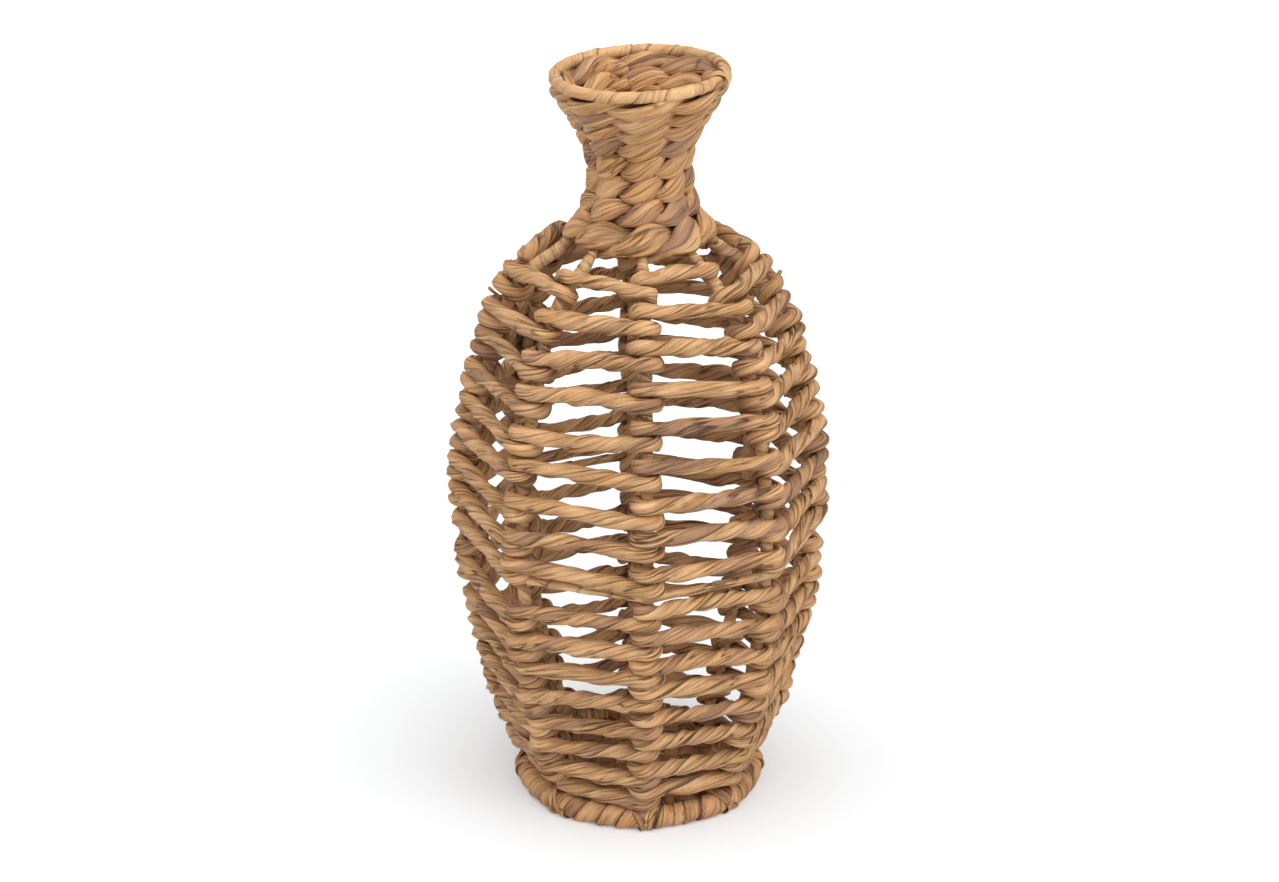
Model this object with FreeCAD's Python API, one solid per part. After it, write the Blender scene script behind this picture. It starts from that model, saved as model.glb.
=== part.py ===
import FreeCAD, Part
import math
import os

# A tall woven vase. Eight wire ribs bound with flat leaf strip stand between a thick
# base hoop and a thin rim hoop, with a third hoop round the belly. Three twisted leaf
# cords climb the body together, each going once round every rib that it passes. The
# neck is twined with pairs of flat strands, and a plaited mat closes the bottom.
# All sizes are millimetres, +Z is up and the origin is at the middle of the foot.

V = FreeCAD.Vector
UP = V(0, 0, 1)

# Clearances
lay_gap = 0.25            # between a cord and the rib that it is wound on
turn_gap = 0.7            # between two turns of cord that lie side by side on a rib
bore_gap = 0.1            # between a wire and the strip bound round it
seat_gap = 0.2            # between a rib and the hoop that it is welded to
splice_gap = 0.3          # between the cut ends of two lengths of cord
overrun = 20.0            # how far a cutting block reaches past the piece that it cuts

# Ribs
rib_count = 8
front_rib_turn = math.radians(2.4)
rib_wire_radius = 1.8
rib_binding_radius = 4.0
foot_lean = math.radians(63.9)        # how steeply the ribs leave the base hoop
foot_bend_radius = 8.0                # where a rib turns in under the vase
spoke_drop = 2.0                      # the spokes run this far below the base hoop's middle
belly_radius = 106.6                  # middle of a rib at the widest place
belly_height = 206.5
shoulder_radius = 95.3                # where the shoulder begins to close in
shoulder_rise = 78.2                  # above the belly
shoulder_lean = math.radians(104.0)
crown_radius = 57.0                   # where the shoulder turns up into the neck
crown_rise = 75.0                     # above the shoulder
crown_lean = math.radians(148.3)
throat_radius = 25.2                  # the narrowest place
throat_rise = 54.3                    # above the crown
rim_lean = math.radians(55.5)         # the flare of the mouth
bare_rib_length = 119.0               # of each rib at its top, above its strip binding

# Hoops
base_hoop_radius = 73.0
base_hoop_thickness = 14.0
base_hoop_wire_thickness = 5.0
base_hoop_flat = 0.5                  # depth of the flat that the vase stands on
mid_hoop_height = 179.3
mid_hoop_thickness = 6.0
mid_hoop_wire_thickness = 3.2
rim_hoop_radius = 51.5
rim_hoop_rise = 62.35                 # above the throat
rim_hoop_thickness = 7.3
rim_hoop_wire_thickness = 3.2
weld_radius = 3.4

# Base
hub_radius = 12.0
hub_wire_radius = 1.8
mat_thickness = 5.0
mat_edge_gap = 1.0                    # between the mat and a bound rib

# Body cords
cord_diameter = 9.1
cord_count = 3
course_pitch = 20.4                   # from one course to the next, below the belly hoop
upper_course_pitch = 21.4             # the same above the belly hoop
wrap_rise = 10.55                     # how far a cord climbs in going round a rib
low_course_rise = 14.0                # lowest turn of the first cord, up its rib
crown_course_drop = 11.0              # no turn starts nearer to the crown than this
splice_run = 11.3                     # straight cord past a rib, up to a splice
tuck_run = 5.0                        # a cord's first and last ends lie this far over a rib
cut_rib_index = 4                     # cords are spliced just past this rib, at the back
cord_start_index = (0, 3, 5)          # the rib where each cord begins
steepness_share = 1.5                 # climb behind a rib, against an even climb

# Twined neck
strand_thickness = 5.4
strand_cross_height = 4.6             # how far a strand is folded where two of them cross
strand_lift = 2.7                     # how far a strand rises over half a stitch
neck_wide_drop = 18.7                 # lowest of the wide rows, along a rib from the throat
neck_wide_pitch = 15.2
neck_wide_width = 12.2
neck_close_count = 3
neck_close_drop = 9.0                 # highest of the close rows, along a rib from the rim
neck_close_pitch = 10.65
neck_close_width = 9.0
collar_drop = 36.7                    # along a rib from the throat
collar_width = 17.6
collar_thickness = 6.4
collar_cross_height = 6.6
collar_lift = 3.8
stitch_fullness_share = 0.04          # how much flatter than a plain wave a stitch lies
stitch_section_count = 6              # outlines of a strand from one rib to the next

# Exactness of the drawing
level_share = 1e-9                    # two directions closer than this count as one
straight_share = 1e-4                 # an arc flatter than this is drawn straight
halving_count = 60                    # steps in finding a place on a rib

# Worked out from the sizes above
shoulder_height = belly_height + shoulder_rise
crown_height = shoulder_height + crown_rise
throat_height = crown_height + throat_rise
rim_hoop_height = throat_height + rim_hoop_rise
rib_step = 2 * math.pi / rib_count
half_step = rib_step / 2
quarter = math.pi / 2
cord_radius = cord_diameter / 2
lay_radius = rib_binding_radius + lay_gap + cord_radius
least_rise = cord_diameter + turn_gap
climb = cord_count * course_pitch / rib_count
panel_drop = wrap_rise - climb
base_hoop_height = base_hoop_thickness / 2 - base_hoop_flat
spoke_height = base_hoop_height - spoke_drop
hoop_reach = (mid_hoop_thickness + cord_diameter) / 2 + lay_gap
hoop_room = 2 * hoop_reach - wrap_rise
mid_hoop_seat = rib_binding_radius + mid_hoop_thickness / 2 + seat_gap


def biarc(start, leave, end, arrive):
    """Corner, joint and corner of the two equal-legged arcs that join two tangent points."""
    across = end - start
    both = leave + arrive
    spread = 2 * (1 - leave.dot(arrive))
    reach = across.dot(both)
    if spread < level_share:
        leg = across.dot(across) / (2 * reach)
    else:
        leg = (math.sqrt(reach * reach + spread * across.dot(across)) - reach) / spread
    first = start + leave * leg
    second = end - arrive * leg
    return first, (first + second) * 0.5, second


def arc_edge(start, corner, end):
    """The arc that touches both legs of a corner, or a straight line where they line up."""
    middle = (start + end) * 0.5
    half = (end - start).Length / 2
    depth = (corner - middle).Length
    if depth < half * straight_share:
        return Part.LineSegment(start, end).toShape()
    turn = math.atan2(depth, half)
    top = middle + (corner - middle) * (math.tan(turn / 2) / math.tan(turn))
    return Part.Arc(start, top, end).toShape()


def smooth_edges(stations):
    """Biarcs through a list of (point, direction) stations."""
    edges = []
    for (start, leave), (end, arrive) in zip(stations[:-1], stations[1:]):
        first, joint, second = biarc(start, leave, end, arrive)
        edges.append(arc_edge(start, first, joint))
        edges.append(arc_edge(joint, second, end))
    return edges


def heading(lean):
    """Direction of a rib that leans by an angle from level, in the plane of the rib."""
    return V(math.cos(lean), 0, math.sin(lean))


def outward(lean):
    """Direction square to the rib, away from the inside of the vase."""
    return V(math.sin(lean), 0, -math.cos(lean))


def rib_arcs():
    """The rib's curve above the base hoop, as (start, lean, bend, length) of each arc."""
    seat = base_hoop_thickness / 2 + rib_binding_radius + seat_gap
    foot = V(base_hoop_radius, 0, base_hoop_height) - outward(foot_lean) * seat
    stations = [
        (foot, foot_lean),
        (V(belly_radius, 0, belly_height), quarter),
        (V(shoulder_radius, 0, shoulder_height), shoulder_lean),
        (V(crown_radius, 0, crown_height), crown_lean),
        (V(throat_radius, 0, throat_height), quarter),
        (V(rim_hoop_radius, 0, rim_hoop_height), rim_lean),
    ]
    arcs = []
    for (start, lean), (end, end_lean) in zip(stations[:-1], stations[1:]):
        first, joint, second = biarc(start, heading(lean), end, heading(end_lean))
        for a, corner, b in ((start, first, joint), (joint, second, end)):
            begin = math.atan2((corner - a).z, (corner - a).x)
            turn = math.atan2((b - corner).z, (b - corner).x) - begin
            leg = (corner - a).Length
            length = leg / math.tan(abs(turn) / 2) * abs(turn)
            arcs.append((a, begin, turn / length, length))
    return arcs


RIB = rib_arcs()
RIB_LENGTH = sum(arc[3] for arc in RIB)
THROAT_PLACE = RIB_LENGTH - RIB[-2][3] - RIB[-1][3]
CROWN_PLACE = THROAT_PLACE - RIB[-4][3] - RIB[-3][3]


def rib_at(place):
    """Point and lean of the rib at a distance along it, in the plane of the rib."""
    for start, lean, bend, length in RIB:
        if place <= length or (start, lean, bend, length) == RIB[-1]:
            turned = lean + bend * place
            x = (math.sin(turned) - math.sin(lean)) / bend
            z = (math.cos(lean) - math.cos(turned)) / bend
            return start + V(x, 0, z), turned
        place -= length


def rib_stretch(low, high):
    """Edges of the rib's curve between two distances along it."""
    edges = []
    begin = 0
    for start, lean, bend, length in RIB:
        a = max(low, begin)
        b = min(high, begin + length)
        if b > a:
            points = [rib_at(a)[0], rib_at((a + b) / 2)[0], rib_at(b)[0]]
            edges.append(Part.Arc(*points).toShape())
        begin += length
    return edges


def around(vector, angle):
    """Turn a vector from the plane y = 0 to the upright plane at an angle from the front."""
    x = vector.x * math.sin(angle) + vector.y * math.cos(angle)
    y = vector.y * math.sin(angle) - vector.x * math.cos(angle)
    return V(x, y, vector.z)


def rib_turn(index):
    """Angle of a rib from the front of the vase, towards the right."""
    return front_rib_turn + index * rib_step


def place_on_rib(shape, index):
    """Turn a shape modelled in the plane y = 0 to where one of the ribs stands."""
    placed = shape.copy()
    placed.rotate(V(0, 0, 0), UP, math.degrees(rib_turn(index) - quarter))
    return placed


def circle_wire(centre, direction, radius):
    """A circle round a centre, square to a direction."""
    return Part.Wire(Part.makeCircle(radius, centre, direction))


def tube(edges, radius):
    """A round tube along a path of edges that run on smoothly from each other."""
    path = Part.Wire(edges)
    first = edges[0]
    start = first.valueAt(first.FirstParameter)
    direction = first.tangentAt(first.FirstParameter)
    return path.makePipeShell([circle_wire(start, direction, radius)], True, False)


def rib_wire_edges():
    """Path of a rib's wire: a spoke from the hub, the bend at the foot, then the rib."""
    foot, lean = rib_at(0)
    along = heading(lean)
    corner = foot - along * ((foot.z - spoke_height) / along.z)
    leg = foot_bend_radius * math.tan(lean / 2)
    bend_start = corner - V(leg, 0, 0)
    bend_end = corner + along * leg
    hub_end = V(hub_radius + hub_wire_radius + seat_gap, 0, spoke_height)
    top = RIB_LENGTH - rim_hoop_wire_thickness / 2 - seat_gap
    edges = [
        Part.LineSegment(hub_end, bend_start).toShape(),
        arc_edge(bend_start, corner, bend_end),
        Part.LineSegment(bend_end, foot).toShape(),
    ]
    return edges + rib_stretch(0, top)


def rib_wire():
    """A rib's wire, with its spoke under the bottom of the vase."""
    return tube(rib_wire_edges(), rib_wire_radius)


def rib_binding():
    """The strip wound round a rib's wire, as a sleeve with a bore for the wire."""
    edges = rib_stretch(0, RIB_LENGTH - bare_rib_length)
    sleeve = tube(edges, rib_binding_radius)
    bore = tube(edges, rib_wire_radius + bore_gap)
    return sleeve.cut(bore)


def hoop_wire(radius, height, thickness):
    """A round wire ring."""
    return Part.makeTorus(radius, thickness / 2, V(0, 0, height))


def hoop_binding(radius, height, thickness, wire_thickness):
    """The strip wound round a hoop, with a bore for the wire and a butt joint at the back."""
    middle = V(radius, 0, height)
    ring = Part.Face([
        circle_wire(middle, V(0, 1, 0), thickness / 2),
        circle_wire(middle, V(0, -1, 0), wire_thickness / 2 + bore_gap),
    ])
    sweep = 2 * math.pi - splice_gap / radius
    sleeve = ring.revolve(V(0, 0, 0), UP, math.degrees(sweep))
    sleeve.rotate(V(0, 0, 0), UP, math.degrees(rib_turn(cut_rib_index) + half_step - quarter))
    return sleeve


def base_hoop_binding():
    """The thick foot of the vase, cut flat where it stands."""
    sleeve = hoop_binding(base_hoop_radius, base_hoop_height, base_hoop_thickness,
                          base_hoop_wire_thickness)
    side = 2 * (base_hoop_radius + base_hoop_thickness)
    block = Part.makeBox(side, side, overrun, V(-side / 2, -side / 2, -overrun))
    return sleeve.cut(block)


def rim_hoop_binding():
    """The rim's strip, with a hole for each rib wire that is welded to the wire inside."""
    sleeve = hoop_binding(rim_hoop_radius, rim_hoop_height, rim_hoop_thickness,
                          rim_hoop_wire_thickness)
    low = RIB_LENGTH - rim_hoop_thickness
    hole = tube(rib_stretch(low, RIB_LENGTH), rib_wire_radius + bore_gap)
    return sleeve.cut(Part.Compound([place_on_rib(hole, index) for index in range(rib_count)]))


def mid_hoop_place():
    """Distance up a rib at which the belly hoop lies against its outside."""
    low = 0
    high = CROWN_PLACE
    for _ in range(halving_count):
        place = (low + high) / 2
        point, lean = rib_at(place)
        if (point + outward(lean) * mid_hoop_seat).z < mid_hoop_height:
            low = place
        else:
            high = place
    return place


def mid_hoop_edges():
    """The belly hoop runs straight from rib to rib and bends round the outside of each. Its
    ends meet in the middle of a panel at the back."""
    point, lean = rib_at(mid_hoop_place())
    across = (point + outward(lean) * mid_hoop_seat).x - mid_hoop_seat
    along = mid_hoop_seat * math.sin(half_step)
    out = across + mid_hoop_seat * math.cos(half_step)
    edges = []
    left = []
    right = []
    for number in range(1, rib_count + 1):
        angle = rib_turn(cut_rib_index + number)
        left.append(around(V(out, -along, mid_hoop_height), angle))
        right.append(around(V(out, along, mid_hoop_height), angle))
        top = around(V(across + mid_hoop_seat, 0, mid_hoop_height), angle)
        if number > 1:
            edges.append(Part.LineSegment(right[-2], left[-1]).toShape())
        edges.append(Part.Arc(left[-1], top, right[-1]).toShape())
    meeting = (right[-1] + left[0]) * 0.5
    tail = unit(left[0] - right[-1]) * (splice_gap / 2)
    first = Part.LineSegment(meeting + tail, left[0]).toShape()
    last = Part.LineSegment(right[-1], meeting - tail).toShape()
    return [first] + edges + [last]


def mid_hoop_wire():
    """The wire inside the belly hoop."""
    return tube(mid_hoop_edges(), mid_hoop_wire_thickness / 2)


def mid_hoop_binding():
    """The strip wound round the belly hoop, with a bore for the wire."""
    edges = mid_hoop_edges()
    bore = tube(edges, mid_hoop_wire_thickness / 2 + bore_gap)
    return tube(edges, mid_hoop_thickness / 2).cut(bore)


def mid_hoop_welds():
    """A bead in the crook between the belly hoop and each rib that it lies against."""
    place = mid_hoop_place()
    point, lean = rib_at(place)
    contact = point + outward(lean) * (rib_binding_radius + seat_gap / 2)
    hoop = tube(mid_hoop_edges(), mid_hoop_thickness / 2 + bore_gap)
    rib = tube(rib_stretch(place - mid_hoop_seat, place + mid_hoop_seat),
               rib_binding_radius + bore_gap)
    bead = Part.makeSphere(weld_radius, contact).cut(rib)
    beads = [place_on_rib(bead, index) for index in range(rib_count)]
    return Part.Compound(beads).cut(hoop)


def base_mat():
    """The plaited mat on the spokes, as a flat disc inside the base hoop with a notch round
    each rib."""
    height = spoke_height + rib_wire_radius + seat_gap
    radius = base_hoop_radius - base_hoop_thickness / 2 - seat_gap
    disc = Part.makeCylinder(radius, mat_thickness, V(0, 0, height))
    foot, lean = rib_at(0)
    along = heading(lean)
    notch = Part.makeCylinder(rib_binding_radius + mat_edge_gap, 2 * overrun,
                              foot - along * overrun, along)
    notches = [place_on_rib(notch, index) for index in range(rib_count)]
    return disc.cut(Part.Compound(notches))


def course_place(nominal, divide):
    """Where a turn lies whose place at an even pitch is given: above the belly hoop it moves
    up to leave room for the hoop, and the pitch is wider."""
    if nominal < divide:
        return nominal
    return nominal + hoop_room + (nominal - divide) * (upper_course_pitch / course_pitch - 1)


def cord_passes(cord, divide):
    """Lower places, at an even pitch, of the turn that a cord makes at each rib, in order."""
    start = low_course_rise + cord_start_index[cord] * climb - cord * course_pitch
    passes = []
    while course_place(start + len(passes) * climb, divide) <= CROWN_PLACE - crown_course_drop:
        passes.append(start + len(passes) * climb)
    return passes


def settle_passes():
    """Lower and upper place of every turn of every cord, moved apart where turns on a rib
    would meet each other or the belly hoop."""
    middle = mid_hoop_place()
    divide = middle - hoop_room / 2
    cords = []
    for cord in range(cord_count):
        passes = []
        for nominal in cord_passes(cord, divide):
            shift = course_place(nominal, divide) - nominal
            passes.append([nominal, nominal + wrap_rise, max(shift, hoop_room)])
        cords.append(passes)
    for rib in range(rib_count):
        below = []
        above = []
        for cord, passes in enumerate(cords):
            for number, turn in enumerate(passes):
                if (cord_start_index[cord] + number) % rib_count != rib:
                    continue
                (above if turn[0] + panel_drop >= divide else below).append((turn, 0))
                (above if turn[1] >= divide else below).append((turn, 1))
        below.sort(key=lambda item: -item[0][item[1]])
        above.sort(key=lambda item: item[0][item[1]])
        limit = middle - hoop_reach
        for turn, end in below:
            turn[end] = min(turn[end], limit)
            limit = turn[end] - least_rise
        limit = middle + hoop_reach
        for turn, end in above:
            turn[end] = max(turn[end] + turn[2], limit)
            limit = turn[end] + least_rise
    return cords


def cord_station(rib, place, turn, slope):
    """Point and direction of a cord at an angle round a rib, climbing at a slope."""
    point, lean = rib_at(place)
    angle = rib_turn(rib)
    normal = outward(lean)
    side = V(0, 1, 0)
    spot = point + (normal * math.cos(turn) + side * math.sin(turn)) * lay_radius
    ahead = side * math.cos(turn) - normal * math.sin(turn)
    ahead = ahead * math.cos(slope) + heading(lean) * math.sin(slope)
    return around(spot, angle), around(ahead, angle)


def entry(rib, lower):
    """Where a cord touches down on a rib, at the outside, on its left."""
    return cord_station(rib, lower, -half_step, 0)[0]


def leaving(rib, upper):
    """Where a cord leaves a rib again, at the outside, on its right."""
    return cord_station(rib, upper, half_step, 0)[0]


def slope_on_rib(direction, rib, place):
    """How steeply a direction climbs along a rib, as an angle."""
    lean = rib_at(place)[1]
    return math.asin(direction.dot(around(heading(lean), rib_turn(rib))))


def wrap_stations(rib, lower, upper, arrive, leave):
    """A cord's turn round a rib: over its outside, round behind it and out again above."""
    slope = steepness_share * math.atan2(upper - lower, math.pi * lay_radius)
    middle = (lower + upper) / 2
    dip = slope_on_rib(arrive, rib, lower)
    lift = slope_on_rib(leave, rib, upper)
    return [
        (entry(rib, lower), arrive),
        cord_station(rib, lower, half_step, lift),
        cord_station(rib, lower, quarter, 0),
        cord_station(rib, middle, 2 * quarter, slope),
        cord_station(rib, upper, 3 * quarter, 0),
        cord_station(rib, upper, 4 * quarter - half_step, dip),
        (leaving(rib, upper), leave),
    ]


def unit(vector):
    """The same direction at a length of one."""
    return vector * (1 / vector.Length)


def cord_length(passes, first_rib, before, after):
    """Path of one length of cord over some ribs, with the straight run at each end."""
    count = len(passes)
    entries = [entry(first_rib + i, passes[i][0]) for i in range(count)]
    exits = [leaving(first_rib + i, passes[i][1]) for i in range(count)]
    came_from = before or leaving(first_rib - 1, passes[0][0] + panel_drop)
    goes_to = after or entry(first_rib + count, passes[-1][1] - panel_drop)
    edges = []
    for i in range(count):
        previous = exits[i - 1] if i else came_from
        following = entries[i + 1] if i + 1 < count else goes_to
        arrive = unit(entries[i] - previous)
        leave = unit(following - exits[i])
        if i == 0:
            run = splice_run + splice_gap if before else -tuck_run
            start = previous + arrive * run
            edges.append(Part.LineSegment(start, entries[i]).toShape())
        stations = wrap_stations(first_rib + i, passes[i][0], passes[i][1], arrive, leave)
        edges.extend(smooth_edges(stations))
        end = following
        if i + 1 == count:
            end = exits[i] + leave * splice_run if after else following + leave * tuck_run
        edges.append(Part.LineSegment(exits[i], end).toShape())
    return edges


def body_cords():
    """Every length of body cord, by name: each cord is spliced once a turn, at the back."""
    named = {}
    for cord, passes in enumerate(settle_passes()):
        first = 0
        part = 1
        while first < len(passes):
            first_rib = cord_start_index[cord] + first
            to_cut = (cut_rib_index - first_rib) % rib_count + 1
            last = min(first + to_cut, len(passes))
            before = leaving(first_rib - 1, passes[first - 1][1]) if first else None
            after = None
            if last < len(passes):
                after = entry(cord_start_index[cord] + last, passes[last][0])
            edges = cord_length(passes[first:last], first_rib, before, after)
            named["body_cord_" + "abc"[cord] + "_" + str(part)] = edges
            first = last
            part += 1
    return named


def least_gap(edges, radius):
    """Smallest space that a cord leaves between two of its own turns, measured on points."""
    points = []
    run = 0
    for edge in edges:
        count = max(2, int(edge.Length / radius))
        for step in range(count):
            place = edge.getParameterByLength(edge.Length * step / count)
            points.append((run + edge.Length * step / count, edge.valueAt(place)))
        run += edge.Length
    far = math.pi * 2 * radius
    least = None
    for i, (place, point) in enumerate(points):
        for other_place, other in points[i + 1:]:
            if other_place - place > far:
                gap = (other - point).Length - 2 * radius
                least = gap if least is None else min(least, gap)
    return least


def oval_wire(centre, wide, thick, half_width, half_thickness):
    """A flattened round outline of four arcs."""
    def point(turn):
        across = wide * (half_width * math.cos(turn))
        return centre + across + thick * (half_thickness * math.sin(turn))
    arcs = []
    for side in range(4):
        start = side * quarter
        arc = Part.Arc(point(start), point(start + quarter / 2), point(start + quarter))
        arcs.append(arc.toShape())
    return Part.Wire(arcs)


def strand_middle(place, angle, phase, thickness, lift):
    """Middle line of a twined strand: before one rib, behind the next, rising as it goes."""
    stitch = rib_count / 2 * (angle - front_rib_turn) + phase
    reach = rib_wire_radius + lay_gap + thickness / 2
    wave = math.cos(stitch)
    wave += stitch_fullness_share * (math.cos(stitch) - math.cos(3 * stitch))
    point, lean = rib_at(place + lift * math.sin(stitch))
    point = point + outward(lean) * (reach * wave)
    return around(point, angle), around(heading(lean), angle), abs(math.cos(stitch))


def strand(place, phase, width, thickness, cross_height, lift):
    """One flat strand of a twined row, folded narrow where it crosses its partner."""
    count = rib_count * stitch_section_count
    begin = rib_turn(cut_rib_index) + half_step / 2
    radius = rib_at(place)[0].x
    sweep = 2 * math.pi - splice_gap / radius
    nudge = splice_gap / radius
    wires = []
    for number in range(count + 1):
        angle = begin + sweep * number / count
        middle, up, open_share = strand_middle(place, angle, phase, thickness, lift)
        ahead = strand_middle(place, angle + nudge, phase, thickness, lift)[0]
        back = strand_middle(place, angle - nudge, phase, thickness, lift)[0]
        thick = unit((ahead - back).cross(up))
        wide = unit(thick.cross(ahead - back))
        height = cross_height + (width - cross_height) * open_share * open_share
        wires.append(oval_wire(middle, wide, thick, height / 2, thickness / 2))
    return Part.makeLoft(wires, True, False)


def twined_row(place, width, thickness, cross_height, lift):
    """The two strands of a row, each outside the ribs where the other is inside."""
    strands = []
    for phase in (0, math.pi):
        strands.append(strand(place, phase, width, thickness, cross_height, lift))
    return Part.Compound(strands)


def neck_rows():
    """Place and width of each twined row of the neck, from the throat to the mouth."""
    rows = []
    first_close = RIB_LENGTH - neck_close_drop - (neck_close_count - 1) * neck_close_pitch
    place = THROAT_PLACE - neck_wide_drop
    while place < first_close:
        rows.append((place, neck_wide_width))
        place += neck_wide_pitch
    for number in range(neck_close_count):
        rows.append((first_close + number * neck_close_pitch, neck_close_width))
    return rows


def build():
    """Every piece of the vase, by the name of its node."""
    nodes = {}
    nodes["base_hoop_wire"] = hoop_wire(base_hoop_radius, base_hoop_height,
                                        base_hoop_wire_thickness)
    nodes["base_hoop_binding"] = base_hoop_binding()
    nodes["mid_hoop_wire"] = mid_hoop_wire()
    nodes["mid_hoop_binding"] = mid_hoop_binding()
    nodes["mid_hoop_welds"] = mid_hoop_welds()
    nodes["rim_hoop_wire"] = hoop_wire(rim_hoop_radius, rim_hoop_height,
                                       rim_hoop_wire_thickness)
    nodes["rim_hoop_binding"] = rim_hoop_binding()
    nodes["base_hub_ring"] = Part.makeTorus(hub_radius, hub_wire_radius, V(0, 0, spoke_height))
    nodes["base_mat"] = base_mat()
    wire = rib_wire()
    binding = rib_binding()
    for index in range(rib_count):
        nodes["rib_wire_" + str(index + 1)] = place_on_rib(wire, index)
        nodes["rib_binding_" + str(index + 1)] = place_on_rib(binding, index)
    for name, edges in body_cords().items():
        nodes[name] = tube(edges, cord_radius)
        expected = math.pi * cord_radius * cord_radius * sum(edge.Length for edge in edges)
        print(name, "least gap to itself", least_gap(edges, cord_radius),
              "volume share", nodes[name].Volume / expected)
    nodes["neck_collar"] = twined_row(THROAT_PLACE - collar_drop, collar_width,
                                      collar_thickness, collar_cross_height, collar_lift)
    for number, (place, width) in enumerate(neck_rows()):
        nodes["neck_row_" + str(number + 1)] = twined_row(
            place, width, strand_thickness, strand_cross_height, strand_lift)
    return nodes


def save(nodes):
    """Write each node to its own file."""
    os.makedirs("parts", exist_ok=True)
    for name, shape in nodes.items():
        shape.exportStep(os.path.join("parts", name + ".step"))
        print(name, "valid", shape.isValid(), "solids", len(shape.Solids),
              "faces", len(shape.Faces), "volume", round(shape.Volume, 1))


save(build())
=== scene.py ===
from math import atan2, pi, radians, sin, sqrt, tan, tau

import bpy
import numpy as np
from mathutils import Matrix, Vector


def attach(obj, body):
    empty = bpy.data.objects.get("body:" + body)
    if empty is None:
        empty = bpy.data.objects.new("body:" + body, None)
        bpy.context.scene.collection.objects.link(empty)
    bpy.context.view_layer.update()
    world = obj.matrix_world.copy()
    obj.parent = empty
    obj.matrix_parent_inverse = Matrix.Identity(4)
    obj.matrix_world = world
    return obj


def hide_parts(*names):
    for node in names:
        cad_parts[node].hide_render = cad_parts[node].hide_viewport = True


# The looks of a tall woven vase: leaf cord wound from rib to rib, a twined neck and hoops
# bound with leaf strip. Lengths are in millimetres and turned to metres where a mesh is
# made. +Z is up and the front of the vase faces -Y.

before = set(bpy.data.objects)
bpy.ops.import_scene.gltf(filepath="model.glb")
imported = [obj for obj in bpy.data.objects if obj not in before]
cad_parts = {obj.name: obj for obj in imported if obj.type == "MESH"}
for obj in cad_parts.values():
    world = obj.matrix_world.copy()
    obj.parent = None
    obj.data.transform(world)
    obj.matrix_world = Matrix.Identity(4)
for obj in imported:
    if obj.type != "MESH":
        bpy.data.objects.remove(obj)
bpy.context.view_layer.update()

MM = 0.001

# Ribs, as in the construction
RIB_COUNT = 8
FRONT_RIB_TURN = radians(2.4)
RIB_RADIUS = 4.0
RIB_WIRE_RADIUS = 1.8
SEAT_GAP = 0.2
FOOT_LEAN = radians(63.9)
RIB_STATIONS = (
    (106.6, 206.5, radians(90.0)),  # belly: radius, height, lean
    (95.3, 284.7, radians(104.0)),  # shoulder
    (57.0, 359.7, radians(148.3)),  # crown
    (25.2, 414.0, radians(90.0)),  # throat
    (51.5, 476.35, radians(55.5)),  # rim
)
RIB_BINDING_END = 392.0

# Hoops: radius, height and thickness of each
BASE_HOOP = (73.0, 6.5, 14.0)
MID_HOOP_HEIGHT = 179.3
MID_HOOP_THICKNESS = 6.0
MID_HOOP_CLEARANCE = 0.25  # between the belly hoop and the next cords
RIM_HOOP = (51.5, 476.35, 7.3)
FINE_PLACES = 4001  # along half a rib, to find the belly hoop

# Body cords
CORD_COUNT = 3
MOST_TURNS = 100  # more turns than a cord can have
CORD_THICKNESS = 9.1  # room that a cord takes on a rib
COURSE_PITCH = 20.4  # below the belly hoop
UPPER_PITCH = 21.4  # above it
WRAP_RISE = 10.55
LOW_COURSE = 14.0
TOP_COURSE = 356.5
START_RIBS = (0, 3, 5)
CUT_RIB = 4
END_RUN = 11.3
TUCK_RUN = 5.0
LEAST_RISE = 9.8
WRAP_STEEPNESS = 1.5
SPLICE_LAP = 5.0  # the cut ends of two lengths lap by twice this
RING_STEP = 1.4  # from one ring of a cord's mesh to the next

FRONT_STRAYS = {
    # how far the weaver's hand strayed upwards, from the lowest turn: left, middle, right
    7: (-1, -4, -6, -6, -7, -6, -6, -7, -8, -6, -2, -3, 1, 1, 4, 7),
    0: (-1, 0, 2, 2, 3, 1, 0, -1, -2, 0, -2, 1, 3, 5, 7, 6, 4),
    1: (-2, -2, -2, -1, -3, -6, -3, -3, -6, -6, -5, -6, -4, -4, -1, 0),
}
SIDE_STRAY = 1.1  # spread of the strays at the other ribs
MOST_SIDE_STRAY = 2.2
TURN_STRAY = 0.3  # spread of what each turn strays by itself
PAIR_DRAW = 0.5  # the two turns of a pair are drawn this much
HOOP_PAIR_EXCESS = 1.0  # a pair this much wider lies over the hoop
STRAY_SEED = 77

# Neck
STRAND_LIFT = 4.2  # how far a strand rises over half a stitch
CLOSE_STRAND_LIFT = 2.8  # the same in the close rows under the rim
WIDE_ROWS = 4
STRAND_LAP = 0.06  # angle by which a strand's ends lap
STRAND_RING_STEP = 1.25
STRAND_LENGTH_SHARE = 1.45  # a strand's length of the way round the neck
STRAND_CLEARANCE = 0.25  # between a strand and the rib's wire
STRAND_TIP = 5.0
STRAND_SWELLS = (0.14, 18.0)
STITCH_LEAN = 0.18  # a stitch is fullest by this angle before its rib
STITCH_SPREAD = 0.07  # of a stitch's fullness
NECK_ROWS = ((414.5, 7.8), (429.7, 7.8), (444.9, 7.8), (460.1, 7.7),
             (471.7, 6.5), (482.3, 5.9), (493.0, 5.7))  # place up the rib, half height
COLLAR_PLACE = 396.5
RIM_TILT = 1.9  # how much higher the rim is at its right side

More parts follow.
